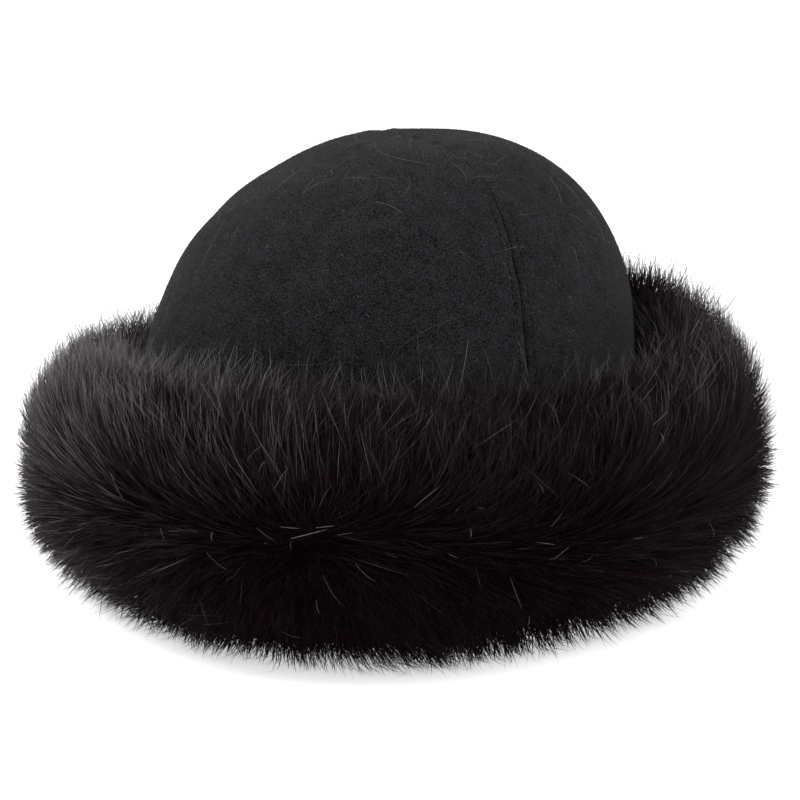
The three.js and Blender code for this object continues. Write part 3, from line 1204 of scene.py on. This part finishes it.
@dataclass
class FurCoats:
    """The long hair of the cuff, combed away from the middle of the roll, up and down."""

    shape: CuffShape
    # painted light and shade in the hair's tone
    painted_light: PaintedLight = PaintedLight()
    tufts: int = 9000
    tuft_seed: int = 99
    tuft_stand_spread: float = 0.028  # how unevenly tufts stand out, as a share of the fur's depth
    drum_radius: float = 0.14  # of the stand-in drum on which tufts are found
    roll_steps: int = 721
    measured_at: float = -0.8  # the direction, in radians, in which the way over the roll is measured
    way_steps: int = 500
    way_margin: float = 1 * MM
    parting_height: float = -6 * MM
    parting_width: float = 26 * MM
    parted_width: float = 14 * MM  # the part round the parting where hair lies more wildly
    parted_stray: float = 1.2  # how much more it strays there, in degrees round the hat
    parted_lean: float = 4 * MM  # how much it leans up or down there
    downward: float = 0.42  # how much of the upper hair's combing the lower hair has
    upright: float = 0.7  # how much less the hair at the top of the roll is combed
    upright_ways: Span = (22 * MM, 72 * MM)
    uneven_sweep: float = 0.12
    pulls: Span = (0.4, 1.1)  # the least and the most of a coat's gather
    bulge: float = 0.05  # how much farther the hair stands at the middle of the roll
    bulge_roll: float = 42.0
    fan_middle: float = -50.0
    milder_fan: float = 0.45  # the share of the fan on the wearer's left
    droop: float = 0.06  # how much farther the lower hair hangs on the deeper side
    droop_ways: Span = (18 * MM, 46 * MM)
    deeper_side: float = -55.0
    # How far hair spreads to both sides of the fan's middle, in degrees, at ways over the roll.
    fans: tuple[Span, ...] = (
        (-56 * MM, 14.0),
        (-30 * MM, 15.0),
        (-6 * MM, 15.0),
        (14 * MM, 10.0),
        (36 * MM, 4.0),
        (80 * MM, 2.0),
    )
    wave_share: float = 0.9  # how deep in the fur the waves below are read
    flow: Waves = Waves(length=80 * MM, seed=3)
    flow_turn: float = 2.6  # degrees round the hat
    ripple: Waves = Waves(length=26 * MM, seed=4)
    ripple_turn: float = 2.2
    ripple_lean: float = 3 * MM
    meander: Waves = Waves(length=110 * MM, seed=6)
    meander_lean: float = 5 * MM
    lay_power: float = 1.1  # above 1, a hair lies over more towards its tip
    lift_power: float = 0.85  # below 1, a hair rises faster near its root
    outward_shares: Span = (1.0, 0.6)
    widths: Span = (0.65, 1.3)
    usual_tone: float = 0.45
    tone_spread: float = 1.7
    tone_power: int = 4  # the higher, the fewer hairs are pale
    rolls: np.ndarray = field(init=False, repr=False)
    ways: np.ndarray = field(init=False, repr=False)
    tuft_angle: np.ndarray = field(init=False, repr=False)
    tuft_way: np.ndarray = field(init=False, repr=False)
    tuft_stand: np.ndarray = field(init=False, repr=False)
    tuft_tree: kdtree.KDTree = field(init=False, repr=False)

    def __post_init__(self) -> None:
        """Measures the way over the roll, and spreads the tufts."""
        self.rolls = np.linspace(-90, 90, self.roll_steps)
        turns = np.full(self.roll_steps, self.measured_at)
        middle = self.shape.point(turns, self.rolls, np.ones(self.roll_steps))
        steps = np.linalg.norm(np.diff(middle, axis=0), axis=1)
        way = np.concatenate([[0], np.cumsum(steps)])
        self.ways = way - np.interp(0, self.rolls, way) - self.parting_height
        rng = np.random.default_rng(self.tuft_seed)
        self.tuft_angle = rng.uniform(0, FULL_TURN, self.tufts)
        self.tuft_way = rng.uniform(self.ways[0], self.ways[-1], self.tufts)
        self.tuft_stand = self.tuft_stand_spread * rng.normal(size=self.tufts)
        self.tuft_tree = kdtree.KDTree(self.tufts)
        for index, place in enumerate(self.spread_out(self.tuft_angle, self.tuft_way)):
            self.tuft_tree.insert(place, index)
        self.tuft_tree.balance()

    def roll_at(self, way: np.ndarray) -> np.ndarray:
        """The direction round the roll at a way over it."""
        return np.interp(way, self.ways, self.rolls)

    def spread_out(self, angle: np.ndarray, way: np.ndarray) -> np.ndarray:
        """Places on a stand-in drum, to tell which tuft is near."""
        return np.stack([self.drum_radius * np.cos(angle), self.drum_radius * np.sin(angle), way], -1)

    def combing(self, way: np.ndarray) -> np.ndarray:
        """How much hair rooted at a way is combed: none at the parting, less below it and at the top."""
        upright = 1 - self.upright * smooth_step(*self.upright_ways, way)
        return np.tanh(way / self.parting_width) * np.where(way > 0, upright, self.downward)

    def standing(self, angle: np.ndarray, way: np.ndarray) -> np.ndarray:
        """How much farther than its coat a hair reaches, as a share of the fur's depth.

        Args:
            angle: the tips' directions round the hat, in radians.
            way: the tips' ways over the roll.

        Returns:
            A share for each hair.
        """
        bulge = self.bulge * np.exp(-((self.roll_at(way) / self.bulge_roll) ** 2))
        hanging = np.maximum(np.cos(angle - math.radians(self.deeper_side)), 0)
        return bulge + self.droop * hanging * smooth_step(*self.droop_ways, -way)

    def comb(
        self, coat: Coat, angle: np.ndarray, root_way: np.ndarray, rng: np.random.Generator
    ) -> tuple[np.ndarray, np.ndarray, np.ndarray]:
        """Works out where the tips of a coat's hairs lie.

        Args:
            coat: what its hairs are like.
            angle: the roots' directions round the hat, in radians.
            root_way: the roots' ways over the roll.
            rng: where the hairs' unevenness comes from.

        Returns:
            The tips' directions, ways and shares of the fur's depth.
        """
        count = coat.count
        found = [self.tuft_tree.find(place)[1] for place in self.spread_out(angle, root_way)]
        tuft_angle, tuft_way = self.tuft_angle[found], self.tuft_way[found]
        pull = coat.gather * rng.uniform(*self.pulls, count)
        here = self.shape.point(tuft_angle, self.roll_at(tuft_way), np.full(count, self.wave_share))
        drift = np.radians(self.flow_turn) * self.flow.at(here)
        drift = drift + np.radians(self.ripple_turn) * self.ripple.at(here)
        parted = np.exp(-((root_way / self.parted_width) ** 2))
        drift += np.radians((coat.stray + self.parted_stray * parted) * rng.normal(size=count))
        fan = np.interp(tuft_way, *np.array(self.fans).T)
        aside = np.sin(tuft_angle - math.radians(self.fan_middle))
        drift += np.radians(fan) * np.where(aside > 0, self.milder_fan, 1) * aside
        lean = self.meander_lean * self.meander.at(here) + self.ripple_lean * self.ripple.at(here[:, ::-1])
        sweep = coat.sweep * (1 + self.uneven_sweep * rng.normal(size=count))
        tip_way = root_way + sweep * self.combing(root_way) + lean
        tip_way += self.parted_lean * parted * rng.normal(size=count)
        tuft_tip = tuft_way + coat.sweep * self.combing(tuft_way) + lean
        tip_way = tip_way + (tuft_tip - tip_way) * pull
        turn = np.mod(tuft_angle - angle + math.pi, FULL_TURN) - math.pi
        tip_angle = angle + turn * pull + drift
        tip_way = np.clip(tip_way, self.ways[0], self.ways[-1])
        tip_share = coat.tip_share + coat.spread * rng.normal(size=count) + self.tuft_stand[found]
        tip_share = tip_share + self.standing(tip_angle, tip_way)
        return tip_angle, tip_way, np.minimum(tip_share, coat.longest)

    def grow(self, coat: Coat, material: bpy.types.Material) -> bpy.types.Object:
        """Grows one coat of hair.

        Args:
            coat: what its hairs are like.
            material: the hair.

        Returns:
            The coat as one piece.
        """
        rng = np.random.default_rng(coat.seed)
        count = coat.count
        angle = rng.uniform(0, FULL_TURN, count)
        steps = np.linspace(self.ways[0], self.ways[-1], self.way_steps)
        combed = steps + coat.sweep * self.combing(steps)
        low, high = max(coat.lowest, self.ways[0] + self.way_margin), min(coat.highest, self.ways[-1])
        root_way = np.interp(rng.uniform(low, high, count), combed, steps)
        tip_angle, tip_way, tip_share = self.comb(coat, angle, root_way, rng)
        paths = np.zeros((count, coat.stations, 3))
        for station, s in enumerate(np.linspace(0, 1, coat.stations)):
            at_angle = angle + (tip_angle - angle) * s**self.lay_power
            at_way = root_way + (tip_way - root_way) * s**self.lay_power
            share = coat.root_share + (tip_share - coat.root_share) * s**self.lift_power
            paths[:, station] = self.shape.point(at_angle, self.roll_at(at_way), share)
        roll = self.roll_at(root_way)
        shares = (np.full(count, share) for share in self.outward_shares)
        outer, inner = (self.shape.point(angle, roll, share) for share in shares)
        width = coat.width * rng.uniform(*self.widths, count)
        # The tone starts from painted light and shade, times the coat's own brightness and a random spread.
        tone = self.painted_light.at(tip_angle, tip_way) * coat.brightness
        tone = tone * (self.usual_tone + self.tone_spread * rng.uniform(0, 1, count) ** self.tone_power)
        hairs = Hairs(coat.name, self.shape.rested(paths), unit(outer - inner), width, np.clip(tone, 0, 1))
        return hairs.build(material, Slot.FUR)


@dataclass
class HemHair:
    """The short hair under the roll, which spreads outwards over the table."""

    name: str
    shape: CuffShape
    count: int = 5300
    seed: int = 61
    start_mm: Span = (-1, 24)  # how far outside the crown's rim a hair starts
    height_mm: Span = (1, 0.6)  # the least height of a root, and what chance adds
    slope: float = 0.45  # how much higher hair starts farther out
    length_mm: Span = (10, 20)
    rise_mm: Span = (-4, 7)  # how far it rises towards its tip
    sag: float = 0.75  # the share of its root's height that it loses
    turn: float = 6.0  # how far it strays, in degrees round the hat
    shorn_side: float = -83.0  # the direction in which it is shortest
    shorn_power: int = 6  # the higher, the narrower that part is
    shorn_start: float = 0.45
    shorn_length: float = 0.3
    width: float = 0.52 * MM
    widths: Span = (0.6, 1.2)
    palest: float = 0.1

    def build(self, material: bpy.types.Material) -> bpy.types.Object:
        """Grows the hem's hair.

        Args:
            material: the hair.

        Returns:
            The hem's hair as one piece.
        """
        rng = np.random.default_rng(self.seed)
        count, crown = self.count, self.shape.crown
        angle = rng.uniform(0, FULL_TURN, count)
        shorn = np.maximum(np.cos(angle - math.radians(self.shorn_side)), 0) ** self.shorn_power
        out = rng.uniform(*self.start_mm, count) * MM * (1 - self.shorn_start * shorn)
        least, more = self.height_mm
        height = (least + more * rng.uniform(0, 1, count)) * MM + self.slope * np.maximum(out, 0)
        length = rng.uniform(*self.length_mm, count) * MM * (1 - self.shorn_length * shorn)
        rise = rng.uniform(*self.rise_mm, count) * MM
        turn = np.radians(self.turn) * rng.normal(size=count)
        paths = np.zeros((count, 3, 3))
        for station, s in enumerate((0.0, 0.5, 1.0)):
            plan = crown.oval(angle + turn * s, out + length * s) + np.array(crown.middle)
            lift = height + (rise * s - self.sag * height * s**2)
            paths[:, station] = np.concatenate([plan, lift[:, None]], -1)
        up = np.tile(np.array([0.0, 0.0, 1.0]), (count, 1))
        width = self.width * rng.uniform(*self.widths, count)
        tone = self.palest * rng.uniform(0, 1, count)
        return Hairs(self.name, self.shape.rested(paths), up, width, tone).build(material, Slot.FUR)


@dataclass(frozen=True)
class LooseHair:
    """A pale hair lying loose on the fur: the ends' directions round the hat and rolls, in degrees."""

    from_angle: float
    from_roll: float
    to_angle: float
    to_roll: float
    to_share: float = 1.045  # how far out its end stands, as a share of the fur's depth


@dataclass
class PaleHairs:
    """Single pale hairs that lie on the fur or rise from it over the cloth."""

    name: str
    shape: CuffShape
    hairs: tuple[LooseHair, ...]
    seed: int = 71
    stations: int = 5
    start_share: float = 1.045
    arch: float = 0.02
    bend: float = 0.03  # the most that a hair bends aside, as a share of its length
    under_share: float = 0.7  # a place in the fur under the hair, which tells which way is out
    width: float = 0.22 * MM
    widths: Span = (0.7, 1.2)
    least_tone: float = 0.08
    tone_spread: float = 0.32

    def build(self, material: bpy.types.Material) -> bpy.types.Object:
        """Lays the hairs.

        Args:
            material: the hair.

        Returns:
            The hairs as one piece.
        """
        rng = np.random.default_rng(self.seed)
        count = len(self.hairs)
        start = np.array([(hair.from_angle, hair.from_roll) for hair in self.hairs])
        end = np.array([(hair.to_angle, hair.to_roll) for hair in self.hairs])
        rise = np.array([hair.to_share for hair in self.hairs])
        across = (end - start)[:, ::-1] * rng.uniform(-self.bend, self.bend, (count, 1))
        paths = np.zeros((count, self.stations, 3))
        for station, s in enumerate(np.linspace(0, 1, self.stations)):
            arch = math.sin(math.pi * s)
            place = start + (end - start) * s + across * arch
            share = self.start_share + (rise - self.start_share) * s + self.arch * arch
            paths[:, station] = self.shape.point(np.radians(place[:, 0]), place[:, 1], share)
        under = self.shape.point(np.radians(start[:, 0]), start[:, 1], np.full(count, self.under_share))
        outward = unit(paths[:, self.stations // 2] - under)
        width = self.width * rng.uniform(*self.widths, count)
        tone = self.least_tone + self.tone_spread * rng.uniform(0, 1, count) ** 2
        hairs = Hairs(self.name, paths, outward, width, tone, thickness_share=0.8)
        return hairs.build(material, Slot.FUR)


@dataclass(frozen=True)
class SoftLight:
    """A square studio light: where it stands, its side and its power."""

    name: str
    place: tuple[float, float, float]
    size: float
    watts: float


@dataclass
class Studio:
    """The pale floor, the soft lights and the camera at the photograph's angle."""

    shape: CrownShape
    azimuth: float = 54.16
    elevation: float = 15.0
    distance: float = 1.290
    aim_height: float = 76.4 * MM
    aim_right: float = 5.3 * MM
    aim_down: float = 6.7 * MM
    lens: float = 144.7
    sensor_width: float = 36.0
    seen: Span = (0.05, 50)  # the nearest and the farthest that the camera sees
    floor_half: float = 6.0
    world_strength: float = 0.5
    lamp_aim: tuple[float, float, float] = (0, 0, 80 * MM)
    lamps: tuple[SoftLight, ...] = (
        SoftLight("left_light", (-0.88, -0.75, 0.95), 0.8, 24),
        SoftLight("top_light", (-0.2, 0.1, 1.8), 1.6, 8.5),
        SoftLight("front_light", (1.05, -0.75, 0.6), 1.1, 8),
        SoftLight("right_light", (0.7, 0.8, 0.95), 0.9, 15),
    )

    def camera(self) -> None:
        """Sets the camera where the photograph was taken from."""
        turn, tilt = math.radians(self.azimuth), math.radians(self.elevation)
        back = Vector((math.sin(turn) * math.cos(tilt), -math.cos(turn) * math.cos(tilt), math.sin(tilt)))
        right = Vector((math.cos(turn), math.sin(turn), 0))
        up = back.cross(right)
        target = Vector((*self.shape.middle, self.aim_height))
        data = bpy.data.cameras.new("studio_camera")
        data.lens = self.lens
        data.sensor_width = self.sensor_width
        data.clip_start, data.clip_end = self.seen
        camera = bpy.data.objects.new("studio_camera", data)
        camera.location = target + back * self.distance
        aim = target + right * self.aim_right - up * self.aim_down
        camera.rotation_euler = (aim - camera.location).to_track_quat("-Z", "Y").to_euler()
        bpy.context.scene.collection.objects.link(camera)
        bpy.context.scene.camera = camera

    def hang(self, light: SoftLight) -> None:
        """Adds one soft square light aimed at the hat.

        Args:
            light: which one.
        """
        data = bpy.data.lights.new(light.name, "AREA")
        data.size = light.size
        data.energy = light.watts
        lamp = bpy.data.objects.new(light.name, data)
        lamp.location = light.place
        aim = Vector(self.lamp_aim) - Vector(light.place)
        lamp.rotation_euler = aim.to_track_quat("-Z", "Y").to_euler()
        bpy.context.scene.collection.objects.link(lamp)

    def floor(self) -> None:
        """Lays the floor."""
        mesh = bpy.data.meshes.new("studio_floor")
        bm = bmesh.new()
        bmesh.ops.create_grid(bm, x_segments=2, y_segments=2, size=self.floor_half)
        bm.to_mesh(mesh)
        bm.free()
        floor = bpy.data.objects.new("studio_floor", mesh)
        bpy.context.scene.collection.objects.link(floor)
        mesh.materials.append(PaleFloor().build())

    def build(self) -> None:
        """Sets up everything round the hat."""
        scene = bpy.context.scene
        scene.view_settings.view_transform = "Standard"
        world = bpy.data.worlds.new("soft_studio")
        world.use_nodes = True
        background = world.node_tree.nodes["Background"]
        background.inputs["Color"].default_value = (1, 1, 1, 1)
        background.inputs["Strength"].default_value = self.world_strength
        scene.world = world
        self.floor()
        for light in self.lamps:
            self.hang(light)
        self.camera()


# Fibres that show on the crown.
PHOTO_LINT = tuple(
    Strand(*row)
    for row in (
        # angle, height, heading, length, bend
        (-89, 161, -15, 9, 20), (-80, 166, -60, 8, -20), (-76, 161, 75, 8, 15),
        (-116, 149, 10, 14, -60), (-104, 150, -50, 30, -50), (-44, 161, -20, 12, -30),
        (-64, 174, -35, 22, 25), (-6, 166, 0, 8, -15), (-3, 143, 10, 9, -35), (-33.5, 109, 47, 34, -46),
        (-3, 135, -85, 5, 0), (-6, 150, -40, 18, -110), (-88, 143, 110, 10, 30), (41, 160, -96, 17, 0),
        (39.5, 148, -62, 9, 0), (29.5, 149, -50, 8, 0), (31, 141, -41, 10, 0), (23, 139, -99, 9, 0),
        (26.5, 140, -76, 6, 0), (42.5, 142, -111, 11, 0), (39, 139, -110, 4, 0), (42.5, 135, -75, 3, 0),
        (35.5, 161, -123, 16, 0), (59.5, 151, -169, 9, 0),
    )
)

# Loose hairs that show on the fur, and below them the wisps that rise from it over the cloth.
PHOTO_HAIRS = tuple(
    LooseHair(*row)
    for row in (
        # angle and roll at the start and at the end, then how far out the end stands
        (-77.5, 11, -74, 3.5), (-67, 0.5, -66, -0.5), (-59, -1, -55, -4), (-58, 1.5, -58, 0),
        (-54.5, 15, -53.5, 11), (-53, 25.5, -50.5, 34), (-51, 3.5, -48, 1), (-51, 22, -50, 27),
        (-48.5, 16.5, -46.5, 25.5), (-48, -23, -44.5, -25), (-47.5, 4.5, -44.5, 4.5),
        (-46, 1.5, -46, 0), (-46, 2, -40.5, 5), (-42.5, -9, -42, -14), (-42.5, 5, -39.5, 6),
        (-42, 11, -40, 20.5), (-41.5, -2.5, -38.5, -11), (-39.5, 3.5, -37, 4.5), (-37, -0.5, -34, -3.5),
        (-33, 0.5, -31, 0), (-29, 13, -25, 22), (-24.5, 0.5, -23, 0), (-23.5, 12, -23, 13),
        (-21.5, 6.5, -21.5, 3.5), (-20.5, 13.5, -19.5, 12.5), (-16, -3, -14, -14), (-13, -21, -13, -16),
        (-12.5, 2, -9.5, 1), (-11.5, 21.5, -11, 17.5), (-10.5, -0.5, -7.5, 0.5),
        (-10.5, 5.5, -8.5, 10.5), (-7, 25, -4, 17), (-6, -1.5, -4, -0.5), (2.5, 0, 4, 0),
        (6, -4, 6.5, -7.5), (6.5, 11, 10.5, 16.5), (10, 37.5, 15, 41.5), (10.5, 33, 10, 27.5),
        (11.5, -11.5, 14.5, -14), (18, -1.5, 19, -6), (19.5, 7, 25.5, 7.5), (-26, 73, -27.5, 76, 1.53),
        (-21, 68, -25.5, 76, 1.47), (-19.5, 72, -18, 76, 1.51), (-31.5, 70, -31, 76, 1.29),
        (-12, 74, -16, 76, 1.47), (-5, 74, -9.5, 76, 1.53), (4.5, 70, 4, 76, 1.35),
        (-57.5, 60, -56, 76, 1.28), (-46.5, 63, -47.5, 76, 1.31), (-50.5, 61, -52, 76, 1.26),
        (-63.5, 68, -62.5, 76, 1.34), (-69, 68, -69.5, 76, 1.31), (-54, 57, -54.5, 76, 1.24),
        (-42.5, 65, -41, 76, 1.26), (-36, 66, -37.5, 76, 1.24),
    )
)

# The coats of deep hair, with a matt copy of the hair that is real matt underfur and painted shade on the
# lower roll, and the brighter ones over them, with a glossier lit copy.
DEEP_COATS = (
    Coat("fur_under_coat", count=19600, stations=3, root_share=0.62, tip_share=0.99, spread=0.03,
         longest=1.14, sweep=14 * MM, width=0.62 * MM, gather=0.2, stray=1.6, brightness=0.6,
         lowest=-0.062, highest=1, seed=51),
    Coat("fur_lower_coat", count=11500, stations=4, root_share=0.7, tip_share=1.04, spread=0.035,
         longest=1.18, sweep=26 * MM, width=0.44 * MM, gather=0.35, stray=2.0, brightness=1.0,
         lowest=-0.06, highest=0.008, seed=52),
)
BRIGHT_COATS = (
    Coat("fur_crest_coat", count=12300, stations=4, root_share=0.7, tip_share=1.04, spread=0.035,
         longest=1.2, sweep=30 * MM, width=0.42 * MM, gather=0.35, stray=2.0, brightness=0.9,
         lowest=-0.008, highest=1, seed=53),
    Coat("fur_guard_hair", count=16000, stations=3, root_share=0.8, tip_share=1.06, spread=0.04,
         longest=1.22, sweep=27 * MM, width=0.28 * MM, gather=0.25, stray=3.2, brightness=1.3,
         lowest=-0.03, highest=1, seed=54),
    Coat("fur_stray_hair", count=1500, stations=4, root_share=0.85, tip_share=1.12, spread=0.09,
         longest=1.26, sweep=26 * MM, width=0.2 * MM, gather=0.1, stray=5.0, brightness=2.0,
         lowest=0.02, highest=1, seed=55),
    Coat("fur_tip_hair", count=2600, stations=3, root_share=0.8, tip_share=1.17, spread=0.1,
         longest=1.5, sweep=14 * MM, width=0.24 * MM, gather=0.15, stray=3.5, brightness=2.2,
         lowest=0.052, highest=1, seed=57),
    Coat("fur_loose_hair", count=500, stations=4, root_share=0.93, tip_share=1.07, spread=0.05,
         longest=1.25, sweep=7 * MM, width=0.2 * MM, gather=0.1, stray=3.2, brightness=11.0,
         lowest=-0.06, highest=0.02, seed=56),
)


def main() -> None:
    """Builds the hat and the studio in order."""
    logging.basicConfig(level=logging.INFO, format="%(message)s")
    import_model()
    crown = CrownShape()
    cuff = CuffShape(crown)
    wool = WoolMelton().build()
    back = CrownPanel("crown_back_cloth", "crown_back_panel", crown, 0.0)
    front = CrownPanel("crown_front_cloth", "crown_front_panel", crown, math.pi)
    back.build(wool)
    front.build(wool)
    Stitches("crown_topstitching", crown, front).build(THREAD.build())
    grey = LooseFibre("wool_nap", (0.0025, 0.0025, 0.0028, 1), (0.128, 0.128, 0.132, 1))
    Nap("crown_nap", front).build(grey.build())
    pale = LooseFibre("pale_lint", (0.02, 0.02, 0.02, 1), (0.3, 0.3, 0.3, 1))
    Lint("crown_lint", front, PHOTO_LINT).build(pale.build())
    FurPelt("fur_pelt", "fur_cuff", cuff).build(HIDE.build())
    coats = FurCoats(cuff)
    # Two copies of one hair that differ only in gloss: the matt one is partly painted shade on the lower
    # hair and the hem, and the glossier one is the lit hair.
    deep, bright = Fur("fur_matt_shaded", gloss=0.01).build(), Fur("fur_glossy_lit", gloss=0.05).build()
    for coat in DEEP_COATS:
        coats.grow(coat, deep)
    HemHair("fur_hem_hair", cuff).build(deep)
    for coat in BRIGHT_COATS:
        coats.grow(coat, bright)
    PaleHairs("fur_pale_hair", cuff, PHOTO_HAIRS).build(pale.build())
    Studio(crown).build()


if __name__ == "__main__":
    main()
